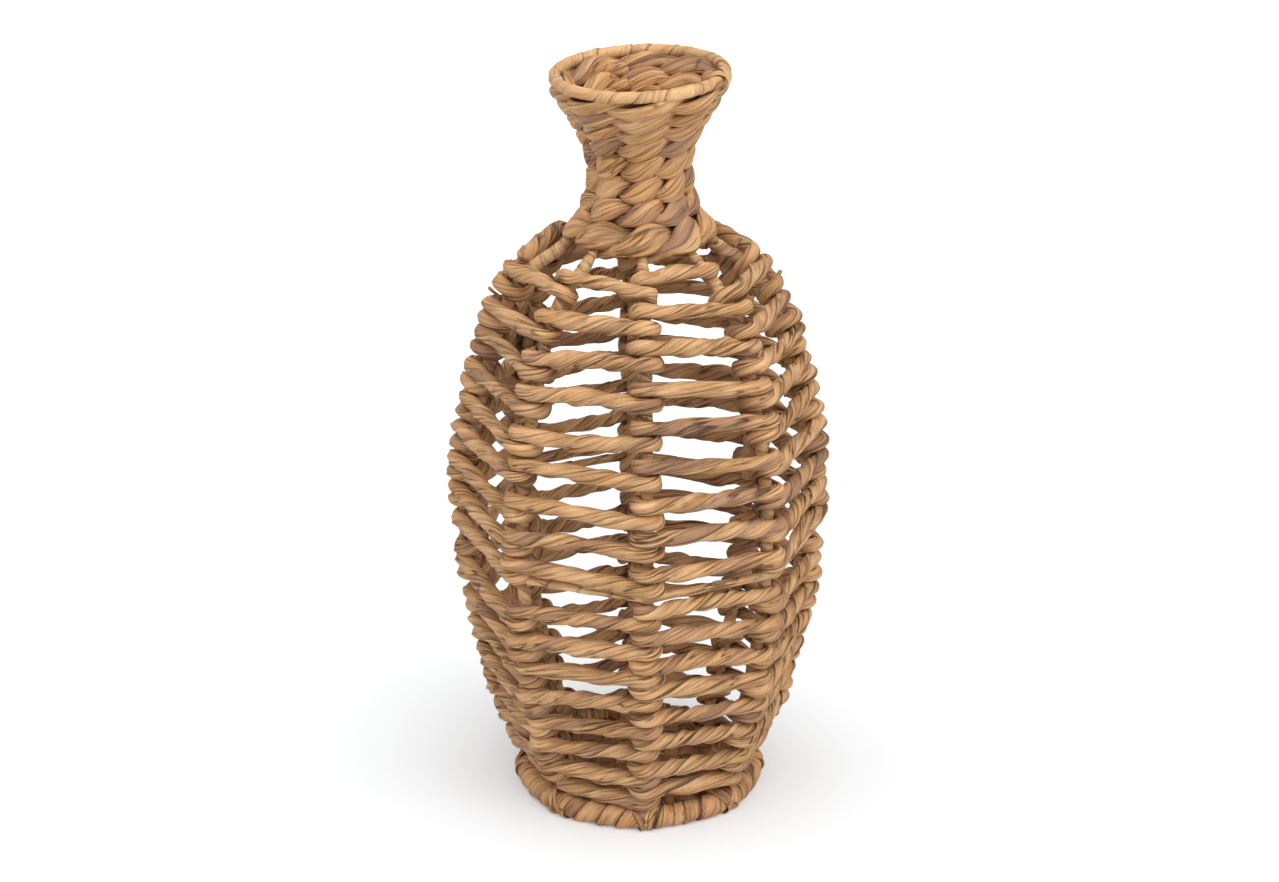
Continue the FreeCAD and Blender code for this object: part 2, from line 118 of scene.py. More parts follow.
STEP = tau / RIB_COUNT
HALF_STEP = STEP / 2
QUARTER = pi / 2
RIB_TURNS = FRONT_RIB_TURN + STEP * np.arange(RIB_COUNT)
CLIMB = CORD_COUNT * COURSE_PITCH / RIB_COUNT
UP = np.array([0.0, 0.0, 1.0])


# Lines that the pieces follow

def heading(lean):
    """Radius and height parts of the direction of a rib that leans by an angle from level."""
    return np.stack([np.cos(lean), np.sin(lean)], -1)


def outward(lean):
    """Radius and height parts of the direction square to a rib, away from the inside."""
    return np.stack([np.sin(lean), -np.cos(lean)], -1)


def biarc(start, leave, end, arrive):
    """Corner, joint and corner of the two even arcs that join two points and directions."""
    across = end - start
    both = leave + arrive
    spread = 2 * (1 - leave @ arrive)
    reach = across @ both
    leg = (sqrt(reach * reach + spread * (across @ across)) - reach) / spread
    first = start + leave * leg
    second = end - arrive * leg
    return first, (first + second) / 2, second


def rib_arcs():
    """Start, lean, bend and length of each arc of a rib, two arcs between two stations."""
    seat = BASE_HOOP[2] / 2 + RIB_RADIUS + SEAT_GAP
    foot = np.array(BASE_HOOP[:2]) - outward(FOOT_LEAN) * seat
    stations = [(foot[0], foot[1], FOOT_LEAN)] + list(RIB_STATIONS)
    arcs = []
    for (x, z, lean), (end_x, end_z, end_lean) in zip(stations[:-1], stations[1:]):
        start = np.array([x, z])
        end = np.array([end_x, end_z])
        first, joint, second = biarc(start, heading(lean), end, heading(end_lean))
        for a, corner, b in ((start, first, joint), (joint, second, end)):
            leg = corner - a
            begin = atan2(leg[1], leg[0])
            turn = atan2(b[1] - corner[1], b[0] - corner[0]) - begin
            length = np.linalg.norm(leg) / tan(abs(turn) / 2) * abs(turn)
            arcs.append((a[0], a[1], begin, turn / length, length))
    return np.array(arcs).T


ARC_X, ARC_Z, ARC_LEAN, ARC_BEND, ARC_LENGTH = rib_arcs()
ARC_BEGIN = np.concatenate([[0.0], np.cumsum(ARC_LENGTH)])
RIB_LENGTH = ARC_BEGIN[-1]


def rib_at(place):
    """Radius, height and lean of a rib at distances along it: each arc turns evenly."""
    place = np.asarray(place, float)
    arc = np.clip(np.searchsorted(ARC_BEGIN, place, "right") - 1, 0, len(ARC_LENGTH) - 1)
    lean, bend = ARC_LEAN[arc], ARC_BEND[arc]
    turned = lean + bend * (place - ARC_BEGIN[arc])
    x = ARC_X[arc] + (np.sin(turned) - np.sin(lean)) / bend
    z = ARC_Z[arc] + (np.cos(lean) - np.cos(turned)) / bend
    return x, z, turned


def turned_to(across, side, height, angle):
    """Points from their radius, sideways and height parts in an upright plane at an angle."""
    x = across * np.sin(angle) + side * np.cos(angle)
    y = side * np.sin(angle) - across * np.cos(angle)
    return np.stack([x, y, height + 0 * x], -1)


def rib_up(place, angle):
    """Direction up along the wall of the vase."""
    along = heading(rib_at(place)[2])
    return turned_to(along[..., 0], 0, along[..., 1], angle)


def unit(vectors):
    return vectors / np.linalg.norm(vectors, axis=-1, keepdims=True)


def run_along(line):
    """Distance along a line at each of its points."""
    steps = np.linalg.norm(np.diff(line, axis=0), axis=1)
    return np.concatenate([[0], np.cumsum(steps)])


def mid_hoop():
    """How far out the belly hoop bends round a rib, and its place up the ribs."""
    places = np.linspace(0, RIB_LENGTH / 2, FINE_PLACES)
    x, z, lean = rib_at(places)
    out = outward(lean) * MID_HOOP_SEAT
    return (np.interp(MID_HOOP_HEIGHT, z + out[:, 1], x + out[:, 0]),
            np.interp(MID_HOOP_HEIGHT, z + out[:, 1], places))


MID_HOOP_SEAT = RIB_RADIUS + MID_HOOP_THICKNESS / 2 + SEAT_GAP
MID_REACH, MID_PLACE = mid_hoop()


def evenly(corners, spacing):
    """A closed line through corners, as points at even distances along it."""
    closed = np.concatenate([corners, corners[:1]])
    run = run_along(closed)
    places = np.linspace(0, run[-1], int(run[-1] / spacing), endpoint=False)
    return np.stack([np.interp(places, run, closed[:, axis]) for axis in range(3)], -1)


def on_rib(cords, rib):
    """Every turn round a rib, as its cord and its number along the cord."""
    return [(cord, number) for cord in range(CORD_COUNT) for number in range(len(cords[cord]))
            if (START_RIBS[cord] + number) % RIB_COUNT == rib]


def even_turns():
    """Lower and upper place of every turn of every cord: even courses, wider apart above the
    belly hoop and clear of it."""
    reach = (MID_HOOP_THICKNESS + CORD_THICKNESS) / 2 + MID_HOOP_CLEARANCE
    room = 2 * reach - WRAP_RISE
    divide = MID_PLACE - room / 2
    cords = []
    shifts = []
    for cord in range(CORD_COUNT):
        start = LOW_COURSE + START_RIBS[cord] * CLIMB - cord * COURSE_PITCH
        lower = start + CLIMB * np.arange(MOST_TURNS)
        spread = (lower - divide) * (UPPER_PITCH / COURSE_PITCH - 1)
        shift = np.where(lower < divide, 0, room + spread)
        kept = lower + shift <= TOP_COURSE
        cords.append(np.stack([lower, lower + WRAP_RISE], -1)[kept])
        shifts.append(np.maximum(shift, room)[kept])
    drop = WRAP_RISE - CLIMB
    for rib in range(RIB_COUNT):
        here = [(cord, number, end) for cord, number in on_rib(cords, rib) for end in (0, 1)]
        here.sort(key=lambda spot: cords[spot[0]][spot[1:]])
        above = [spot for spot in here
                 if cords[spot[0]][spot[1:]] + (drop if spot[2] == 0 else 0) >= divide]
        below = [spot for spot in here if spot not in above]
        limit = MID_PLACE - reach
        for cord, number, end in reversed(below):
            limit = cords[cord][number, end] = min(cords[cord][number, end], limit)
            limit -= LEAST_RISE
        limit = MID_PLACE + reach
        for cord, number, end in above:
            place = cords[cord][number, end] + shifts[cord][number]
            limit = cords[cord][number, end] = max(place, limit)
            limit += LEAST_RISE
    return cords


def strayed_turns():
    """The turns with the small strays of handwork, nearly the same for both of a pair, and
    each pair drawn together."""
    rng = np.random.default_rng(STRAY_SEED)
    cords = even_turns()
    for rib in range(RIB_COUNT):
        here = sorted((cords[cord][number, 0], cord, number) for cord, number in on_rib(cords, rib))
        strays = rng.normal(size=len(here)) * SIDE_STRAY
        strays = np.clip(strays, -MOST_SIDE_STRAY, MOST_SIDE_STRAY)
        if rib in FRONT_STRAYS:
            strays = FRONT_STRAYS[rib]
        for (_, cord, number), stray in zip(here, strays):
            small = rng.normal(size=2) * TURN_STRAY
            lower, upper = cords[cord][number]
            over_hoop = upper - lower > WRAP_RISE + HOOP_PAIR_EXCESS
            moved = np.array([stray * (rib == 1 or not over_hoop), stray * (rib != 1)])
            cords[cord][number] += moved + small + np.array([PAIR_DRAW, -PAIR_DRAW])
    return cords


TURNS = strayed_turns()


def eased(knots, values, slopes, at):
    """Smooth curve through knots with given slopes: a cubic between each pair of knots."""
    cell = np.clip(np.searchsorted(knots, at, "right") - 1, 0, len(knots) - 2)
    width = knots[cell + 1] - knots[cell]
    t = (at - knots[cell]) / width
    low, high = values[:, cell], values[:, cell + 1]
    rise_low, rise_high = slopes[:, cell] * width, slopes[:, cell + 1] * width
    return ((1 + 2 * t) * (1 - t) ** 2 * low + t * (1 - t) ** 2 * rise_low
            + t * t * (3 - 2 * t) * high + t * t * (t - 1) * rise_high)


def smooth(share):
    """A share from 0 to 1 that starts and stops gently."""
    return share * share * (3 - 2 * share)


def drift(rng, run, wander, columns=1):
    """Smooth wander along a run, by its amount and the length over which it changes: random
    heights at every such length, joined by eased steps."""
    amount, scale = wander
    at = run / scale
    cell = np.floor(at).astype(int)
    cell = cell - cell.min()
    share = smooth((at - np.floor(at))[:, None])
    heights = rng.normal(size=(cell.max() + 2, columns))
    return amount * (heights[cell] * (1 - share) + heights[cell + 1] * share)


def seeded(name):
    """Random numbers, the same on each run, for a piece of this name."""
    return np.random.default_rng(sum((i + 3) * ord(c) for i, c in enumerate(name)))


# Meshes

CORNERS = ((0, 0), (0, 1), (1, 1), (1, 0))  # of a face: steps along the run and across


def surface(points, fields, u, v, closed=False):
    """One closed skin from rings of points (rings, columns, 3): closed round each ring, and
    either closed along its run or capped at both ends. Fields are values at the points. u is
    the width across the columns and v the run, for the leaf's grain. Nothing reaches below
    the ground."""
    points[..., 2] = np.maximum(points[..., 2], 0.0)
    rings, columns = points.shape[:2]
    grid = np.arange(rings * columns).reshape(rings, columns)
    rows = rings if closed else rings - 1
    i = np.arange(rows)[:, None]
    j = np.arange(columns)
    quads = np.stack([grid[(i + k) % rings, (j + m) % columns] for k, m in CORNERS], -1)
    loops = quads.ravel()
    starts = np.arange(0, len(loops), 4)
    u = np.append(u, 2 * u[-1] - u[-2])
    v = np.append(v, 2 * v[-1] - v[-2])
    grain = np.stack([np.stack([u[j + m] + 0 * i, v[i + k] + 0 * j], -1)
                      for k, m in CORNERS], -2).reshape(-1, 2)
    flat = points.reshape(-1, 3)
    values = {key: (value + np.zeros((rings, columns))).reshape(-1)
              for key, value in fields.items()}
    if not closed:
        flat = np.concatenate([flat, np.stack([points[0].mean(0), points[-1].mean(0)])])
        first, last = rings * columns, rings * columns + 1
        a = np.arange(columns)
        b = (a + 1) % columns
        fans = np.concatenate([
            np.stack([0 * a + first, grid[0, b], grid[0, a]], -1),
            np.stack([0 * a + last, grid[-1, a], grid[-1, b]], -1),
        ])
        fan_grain = np.stack([np.stack([u[a], u[a + 1], u[a]], -1),
                              v[0] + np.zeros((columns, 3))], -1)
        grain = np.concatenate([grain, fan_grain.reshape(-1, 2), fan_grain.reshape(-1, 2)])
        starts = np.concatenate([starts, len(loops) + 3 * np.arange(len(fans))])
        loops = np.concatenate([loops, fans.ravel()])
        values = {key: np.concatenate([value, [value[:columns].mean(), value[-columns:].mean()]])
                  for key, value in values.items()}
    return flat, loops, starts, grain, values


def placed(name, data):
    """A Blender object of these data, in the scene."""
    made = bpy.data.objects.new(name, data)
    bpy.context.scene.collection.objects.link(made)
    return made


def piece(name, surfaces, material, nodes=()):
    """One piece of the vase from one or more closed skins."""
    skins = list(zip(*surfaces))

    def counted_on(lists, counted):
        shifts = np.cumsum([0] + [len(part) for part in counted])
        return np.concatenate([part + shift for part, shift in zip(lists, shifts)])

    points = np.concatenate(skins[0])
    loops = counted_on(skins[1], skins[0])
    starts = counted_on(skins[2], skins[1])
    grain = np.concatenate(skins[3])
    mesh = bpy.data.meshes.new(name)
    mesh.vertices.add(len(points))
    mesh.vertices.foreach_set("co", (points * MM).astype(np.float32).ravel())
    mesh.loops.add(len(loops))
    mesh.loops.foreach_set("vertex_index", loops.astype(np.int32))
    mesh.polygons.add(len(starts))
    mesh.polygons.foreach_set("loop_start", starts.astype(np.int32))
    mesh.polygons.foreach_set("use_smooth", np.ones(len(starts), bool))
    mesh.uv_layers.new(name="grain").data.foreach_set("uv", grain.astype(np.float32).ravel())
    for key in skins[4][0]:
        value = np.concatenate([fields[key] for fields in skins[4]])
        attribute = mesh.attributes.new(key, "FLOAT", "POINT")
        attribute.data.foreach_set("value", value.astype(np.float32))
    mesh.update(calc_edges=True)
    mesh.validate()
    mesh.materials.append(material)
    made = placed(name, mesh)
    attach(made, "root")
    if nodes:
        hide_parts(*nodes)


def ring_frames(line, up, closed=False):
    """The up and outward directions square to a line, at each of its points."""
    if closed:
        loop = np.concatenate([line[-1:], line, line[:1]])
        along = unit(loop[2:] - loop[:-2])
    else:
        along = unit(np.gradient(line, axis=0))
    rise = unit(up - along * np.sum(up * along, -1, keepdims=True))
    return rise, np.cross(along, rise)


STRIP_SHARES = np.array([0, 4] + list(range(10, 100, 7))) / 100  # columns across a strip
STRIP_STARTS = np.array([0.0, 0.37, 0.7])  # where round a cord its three strips begin
FOLD_SHARES = (0.28, 0.62)  # where across a strip its folds lie
FOLD_WIDTH_SHARE = 0.08
TUCK_SHARE = 0.78  # from here on a strip dips under the next
FLATNESS = 0.08  # how far a cord's outline is from a round
FOLD_DEPTH = 0.7
TUCK_DEPTH = 0.55
EDGE_LIMITS = (0.1, 2.0)

# How much each of these wanders along a cord, and over what length
EDGE_WANDER = (0.5, 30.0)
FOLD_SHIFT = (0.13, 28.0)
FOLD_FADE = (0.6, 21.0)
WRINKLES = (0.3, 24.0)
FINE_WRINKLES = (0.1, 8.0)
FLATNESS_WANDER = (0.4, 50.0)
SWAY = (0.25, 40.0)
TONES = (0.6, 48.0)
LONG_TONES = (0.35, 150.0)

# The leaf's pattern, from which each piece takes a part of its own
GRAIN_RADIUS = 5.0  # cord radius at which its grain is true
GRAIN_WIDTH = 400.0
STRIP_GRAIN_WIDTH = 300.0
GRAIN_LENGTH = 900.0


def rolled_leaf(rng, line, up, wide, deep, run, twist, ease, edge=0.85, crumple=0.9, facet=0.5):
    """A cord of three leaf strips rolled together. Its outline is an oval whose half sizes
    are wide (along the wall) and deep (through it), and its columns turn with the twist.
    Each strip lies a little flatter than the oval, stands proud at one edge and dips under
    the next at the other, with wandering folds and small wrinkles between."""
    rise, out = ring_frames(line, up)
    ease = ease[:, None]
    widths = np.diff(np.append(STRIP_STARTS, 1.0))
    share = np.tile(STRIP_SHARES, 3)
    strip = np.repeat(np.arange(3), len(STRIP_SHARES))
    column = tau * (STRIP_STARTS[strip] + widths[strip] * share)
    heights = np.clip(1 + drift(rng, run, EDGE_WANDER, 3), *EDGE_LIMITS)[:, strip] * edge
    folds = 0
    for middle in FOLD_SHARES:
        at = middle + drift(rng, run, FOLD_SHIFT, 3)[:, strip]
        deepness = np.clip(0.15 + drift(rng, run, FOLD_FADE, 3), 0, 1)[:, strip]
        folds = folds + deepness * np.exp(-((share - at) / FOLD_WIDTH_SHARE) ** 2)
    wrinkle = drift(rng, run, WRINKLES, len(column)) + drift(rng, run, FINE_WRINKLES, len(column))
    wrinkle = (np.roll(wrinkle, 1, 1) + 2 * wrinkle + np.roll(wrinkle, -1, 1)) / 4
    wrinkle = (np.roll(wrinkle, 1, 1) + wrinkle + np.roll(wrinkle, -1, 1)) / 3
    tuck = np.clip((share - TUCK_SHARE) / (1 - TUCK_SHARE), 0, 1) ** 2
    relief = ease * (heights * ((1 - share) ** 1.4 - 0.35) - heights * TUCK_DEPTH * tuck
                     + facet * (0.6 - 4 * share * (1 - share)) - FOLD_DEPTH * folds
                     + crumple * wrinkle)
    oval = 0.8 + drift(rng, run, FLATNESS_WANDER)
    oval = FLATNESS * np.cos(2 * column) * oval * ease
    sway = drift(rng, run, SWAY) * np.sin(column + rng.uniform(0, 6))
    angle = column + sway - twist[:, None] + rng.uniform(0, tau)
    half_wide = (wide[:, None] * (1 + oval) + relief)[..., None]
    half_deep = (deep[:, None] * (1 + oval) + relief)[..., None]
    points = (line[:, None] + rise[:, None] * np.cos(angle)[..., None] * half_wide
              + out[:, None] * np.sin(angle)[..., None] * half_deep)
    # Painted shade: darker where a strip dips under the next, the more so the higher its edge
    # stands, and along its folds.
    painted_shade = np.clip(tuck * (0.45 + heights) + 0.6 * folds, 0, 1)
    tone = drift(rng, run, TONES, 3)[:, strip] + drift(rng, run, LONG_TONES)
    girth = column * GRAIN_RADIUS + rng.uniform(0, GRAIN_WIDTH)
    return surface(points, {"tone": tone, "painted_shade": painted_shade}, girth,
                   run + rng.uniform(0, GRAIN_LENGTH))


FLAT_STRIP_COLUMNS = 20
FLAT_WRINKLES = (0.16, 14.0)
FLAT_TONES = (0.25, 40.0)
FLAT_TONE_SPREAD = 0.5
FLAT_GIRTH_SHARE = 0.64  # a thin oval is 4 half widths round, not 2 pi
END_SHARE = 0.3  # of full thickness, at a cut end


def flat_strip(rng, line, face, half_width, half_thick, closed=False, blunt=3.0, tone_bias=0.0):
    """A flat strip of leaf along a line: a thin oval outline, wide across the line and thin
    along the facing direction, with long wrinkles that both faces share."""
    through, side = ring_frames(line, face, closed)
    number = np.arange(FLAT_STRIP_COLUMNS)
    angle = tau * number / FLAT_STRIP_COLUMNS
    twin = np.minimum(number, FLAT_STRIP_COLUMNS - number)
    run = run_along(line)
    size = np.ones(len(line)) if closed else tapered(run, blunt)
    wrinkle = drift(rng, run, FLAT_WRINKLES, FLAT_STRIP_COLUMNS)[:, twin]
    if closed:
        wrinkle = wrinkle * np.sin(pi * run / run[-1])[:, None]
    across = np.cos(angle) * (half_width * size)[:, None]
    lift = np.sin(angle) * half_thick + wrinkle * np.abs(np.sin(angle))
    points = line[:, None] - side[:, None] * across[..., None]
    points = points + through[:, None] * lift[..., None]
    # Painted shade: darker at the strip's two thin edges and in the hollows of its wrinkles.
    painted_shade = 0.5 * np.abs(np.cos(angle)) ** 8 + np.clip(-wrinkle * 2.2, 0, 0.7)
    tone = rng.normal() * FLAT_TONE_SPREAD + drift(rng, run, FLAT_TONES) + tone_bias
    girth = angle * np.mean(half_width) * FLAT_GIRTH_SHARE
    return surface(points, {"tone": tone, "painted_shade": painted_shade},
                   girth + rng.uniform(0, STRIP_GRAIN_WIDTH),
                   run + rng.uniform(0, GRAIN_LENGTH), closed)


def tapered(run, tip):
    """Share of full thickness along a run: rounded off over a tip at each end."""
    least = np.clip(np.minimum(run - run[0], run[-1] - run) / tip, 0, 1)
    return END_SHARE + (1 - END_SHARE) * np.sqrt(1 - (1 - least) ** 2)


# The body cords

WRAP = np.linspace(-HALF_STEP, 4 * QUARTER + HALF_STEP, 46)  # a turn, by angles
RUN_SHARES = np.linspace(0, 1, 32)[1:-1]  # a run, from rib to rib
SMOOTHING = np.array([1.0, 3.0, 4.0, 3.0, 1.0]) / 12
CORD_RADIUS = 4.65  # full cord between two ribs
SNUG_RADIUS = 6.6  # cord's middle from the rib's, at its sides
FRONT_STAND = 2.2  # further out where it crosses in front
LEAST_SLACK = -0.5  # laid this much further out at the tightest
MOST_SLACK = 1.3  # and at the slackest turn
RIB_GAP = 0.05  # between a cord's oval and the rib
FRONT_HALF_WIDTH = 4.35  # half of a cord's width where it crosses a rib
SIDE_SPREAD = 0.5  # more than that where it hugs the rib's sides
HUG_RUN = 15.0  # a cord grows to its full size over this run
HUG_CALM = 0.35  # its strips lie this much flatter on a rib
MOST_BOW = 1.4  # of a run, up or down at its middle
UP_WANDER = (0.5, 24.0)  # of a run's middle line
OUT_WANDER = (0.5, 30.0)
LUMPS = (0.09, 42.0)  # of a cord's thickness, as a share of it
FINE_LUMPS = (0.04, 15.0)
CORD_TWIST = 66.0  # length of cord in one turn of its twist
TWIST_WANDER = (0.32, 70.0)  # as a share of the twist
TWIST_LIMITS = (0.45, 1.6)
CUT_END = 8.0  # a cut end is rounded off over this length


def turn_points(lower, upper, angle, dip, lift, slack):
    """A cord's turn round a rib, by its angle round the rib: low in front, round the right
    side, up behind the rib and out on the left, hugging the rib more at its sides. Slack is
    how much further out it is laid."""
    knots = np.array([-HALF_STEP, HALF_STEP, QUARTER, 2 * QUARTER, 3 * QUARTER,
                      4 * QUARTER - HALF_STEP, 4 * QUARTER + HALF_STEP])
    middle = (lower + upper) / 2
    flat = 0 * lower
    half_turn = pi * (RIB_RADIUS + CORD_THICKNESS / 2)
    steep = SNUG_RADIUS * np.tan(WRAP_STEEPNESS * np.arctan2(upper - lower, half_turn))
    values = np.stack([lower, lower, lower, middle, upper, upper, upper], -1)
    slopes = np.stack([dip, lift, flat, steep, flat, dip, lift], -1) * 1.0
    place = eased(knots, values, slopes, WRAP)
    x, z, lean = rib_at(place)
    lay = SNUG_RADIUS + slack[:, None] + FRONT_STAND * np.clip(np.cos(WRAP), 0, 1) ** 2
    out = outward(lean)
    across = x + out[..., 0] * lay * np.cos(WRAP)
    height = z + out[..., 1] * lay * np.cos(WRAP)
    return turned_to(across, lay * np.sin(WRAP), height, angle[:, None]), place, lay


def cord_line(cord):
    """A whole cord as points every ring step, with its up direction, half sizes, how closely
    it hugs a rib, and where it meets and leaves each rib."""
    rng = seeded("line" + str(cord))
    turns = TURNS[cord]
    turns = np.concatenate([turns[:1] - CLIMB, turns, turns[-1:] + CLIMB])
    lower, upper = turns[:, 0], turns[:, 1]
    angle = FRONT_RIB_TURN + (START_RIBS[cord] - 1 + np.arange(len(turns))) * STEP
    chord = rib_at(lower)[0] * 2 * sin(HALF_STEP) - CORD_THICKNESS
    fall = np.append(lower[1:] - upper[:-1], lower[-1] - upper[-1] + CLIMB) / chord
    slope_out = SNUG_RADIUS * fall
    slope_in = np.append(slope_out[:1], slope_out[:-1])
    slack = seeded("slack" + str(cord)).uniform(LEAST_SLACK, MOST_SLACK, len(turns))
    wrap, place, lay = turn_points(lower, upper, angle, slope_in, slope_out, slack)
    gap = wrap[1:, :1] - wrap[:-1, -1:]
    chords = wrap[:-1, -1:] + gap * RUN_SHARES[None, :, None]
    chord_place = upper[:-1, None] + (lower[1:] - upper[:-1])[:, None] * RUN_SHARES
    length = np.linalg.norm(gap, axis=-1)
    ends = np.minimum(RUN_SHARES, 1 - RUN_SHARES) * length
    hug = smooth(np.clip(1 - ends / HUG_RUN, 0, 1))
    bow = np.clip(rng.normal(size=(len(gap), 1)), -MOST_BOW, MOST_BOW)
    bow = bow * np.sin(pi * RUN_SHARES)
    wrap_wide = np.broadcast_to(FRONT_HALF_WIDTH + SIDE_SPREAD * np.sin(WRAP) ** 2, place.shape)
    wrap_deep = lay - RIB_RADIUS - RIB_GAP
    deep_in, deep_out = wrap_deep[1:, :1], wrap_deep[:-1, -1:]
    deep_hug = deep_out + (deep_in - deep_out) * RUN_SHARES

    def joined(on_rib, between):
        return np.concatenate([
            np.concatenate([on_rib[:-1], between], 1).reshape((-1,) + on_rib.shape[2:]),
            on_rib[-1]])

    points = joined(wrap, chords)
    values = [
        joined(place, chord_place),
        joined(np.ones_like(place), hug),
        joined(wrap_wide, FRONT_HALF_WIDTH * hug + CORD_RADIUS * (1 - hug)),
        joined(wrap_deep, deep_hug * hug + CORD_RADIUS * (1 - hug)),
        joined(np.zeros_like(place), bow),
    ]
    run = run_along(points)
    stride = len(WRAP) + len(RUN_SHARES)
    enter = run[np.arange(len(turns)) * stride]
    leave = run[np.arange(len(turns)) * stride + len(WRAP) - 1]
    even = np.arange(0, run[-1], RING_STEP)
    points = np.stack([np.interp(even, run, points[:, k]) for k in range(3)], -1)
    padded = np.pad(points, ((2, 2), (0, 0)), "edge")
    points = sum(weight * padded[k:k + len(points)] for k, weight in enumerate(SMOOTHING))
    place, hug, wide, deep, bow = [np.interp(even, run, value) for value in values]
    azimuth = np.arctan2(points[:, 0], -points[:, 1])
    up = rib_up(place, azimuth)
    away = unit(np.cross(np.gradient(points, axis=0), up))
    loose = 1 - hug
    lumps = (drift(rng, even, LUMPS) + drift(rng, even, FINE_LUMPS))[:, 0]
    points = points + up * (bow + loose * drift(rng, even, UP_WANDER)[:, 0])[:, None]
    points = points + away * (loose * drift(rng, even, OUT_WANDER)[:, 0])[:, None]
    return {"points": points, "up": up, "wide": wide * (1 + lumps * (0.3 + 0.7 * loose)),
            "deep": deep * (1 + lumps * loose), "hug": hug, "run": even,
            "enter": enter, "leave": leave}


def body_cords(material):
    """Every length of the three cords, parted where the construction splices them."""
    for cord in range(CORD_COUNT):
        line = cord_line(cord)
        count = len(TURNS[cord])
        ribs = START_RIBS[cord] + np.arange(count)
        begins = [line["leave"][0] - TUCK_RUN]
        finishes = []
        for number in range(count):
            if ribs[number] % RIB_COUNT == CUT_RIB and number + 1 < count:
                finishes.append(line["leave"][number + 1] + END_RUN + SPLICE_LAP)
                begins.append(line["leave"][number + 1] + END_RUN - SPLICE_LAP)
        finishes.append(line["enter"][count + 1] + TUCK_RUN)
        rng = seeded("twist" + str(cord))
        turning = np.clip(1 + drift(rng, line["run"], TWIST_WANDER)[:, 0], *TWIST_LIMITS)
        twist = np.cumsum(turning) * RING_STEP * tau / CORD_TWIST
        for part, (begin, finish) in enumerate(zip(begins, finishes)):
            inside = (line["run"] >= begin) & (line["run"] <= finish)
            run = line["run"][inside]
            name = "body_cord_" + "abc"[cord] + "_" + str(part + 1)
            ends = tapered(run, CUT_END)
            leaf = rolled_leaf(seeded(name), line["points"][inside], line["up"][inside],
                               line["wide"][inside] * ends, line["deep"][inside] * ends,
                               run, twist[inside], 1 - HUG_CALM * line["hug"][inside])
            piece("leaf_" + name, [leaf], material, [name])


# The twined neck

def tilted(points):
    """The mouth of the vase stands a little higher on its right side."""
    low, high = 414.0, 476.0
    share = np.clip((points[..., 2] - low) / (high - low), 0, 1)
    points[..., 2] += RIM_TILT * share * points[..., 0] / RIM_HOOP[0]
    return points


def strand_line(place, phase, reach, lift, turn):
    """Middle of a twined strand: outside one rib and inside the next, climbing from the low
    left end of a stitch to its high right end."""
    stitch = RIB_COUNT / 2 * (turn - FRONT_RIB_TURN) + phase
    wave = np.cos(stitch) + 0.04 * (np.cos(stitch) - np.cos(3 * stitch))
    along = place + lift * np.sin(stitch)
    x, z, lean = rib_at(along)
    out = outward(lean)
    points = turned_to(x + out[..., 0] * reach * wave, 0, z + out[..., 1] * reach * wave, turn)
    return tilted(points), rib_up(along, turn), stitch


def twined_row(name, place, half_height, half_deep, cross, lift, material, twist_length):
    """The two strands of a row, whose ends lap over each other at the back. A stitch has its
    half height a little left of its rib, and is drawn to cross where it dives in."""
    strands = []
    for phase, side in ((0.0, "over"), (pi, "under")):
        rng = seeded(name + side)
        begin = RIB_TURNS[CUT_RIB] + HALF_STEP / 2
        girth = tau * rib_at(place)[0]
        share = np.linspace(0, 1, int(girth * STRAND_LENGTH_SHARE / STRAND_RING_STEP))
        turn = begin - STRAND_LAP + (tau + 2 * STRAND_LAP) * share
        lapped = np.clip(30 * share - 28.5, 0, 1) - np.clip(1.5 - 30 * share, 0, 1)
        reach = RIB_WIRE_RADIUS + STRAND_CLEARANCE + half_deep
        line, up, stitch = strand_line(place, phase, reach, lift, turn)
        line = line + turned_to(lapped * half_deep * 0.6, 0, 0, turn)
        run = run_along(line)
        fullness = np.abs(np.cos(stitch - STITCH_LEAN * np.sign(np.cos(stitch)))) ** 1.2
        number = np.floor(stitch / pi + 0.5).astype(int)
        number = number - number.min()
        vary = np.clip(rng.normal(size=number.max() + 1), -1, 1)[number]
        wide = cross + (half_height - cross) * fullness
        wide = wide * (1 + STITCH_SPREAD * vary * fullness)
        deep = half_deep * (1 + drift(rng, run, STRAND_SWELLS)[:, 0])
        ends = tapered(run, STRAND_TIP)
        strands.append(rolled_leaf(rng, line, up, wide * ends, deep * ends, run,
                                   run * tau / twist_length, 0.55 + 0.45 * fullness,
                                   edge=0.5, crumple=1.2, facet=0.3))
    piece("leaf_" + name, strands, material, [name])


def neck(material):
    """The wide collar and the seven twined rows above it."""
    twined_row("neck_collar", COLLAR_PLACE, half_height=9.8, half_deep=3.3, cross=4.2,
               lift=4.8, material=material, twist_length=200)
    for number, (place, half_height) in enumerate(NECK_ROWS):
        twined_row("neck_row_" + str(number + 1), place, half_height, half_deep=2.8, cross=3.7,
                   lift=STRAND_LIFT if number < WIDE_ROWS else CLOSE_STRAND_LIFT,
                   material=material, twist_length=150)


# Bound hoops and ribs, the lashings and the mat

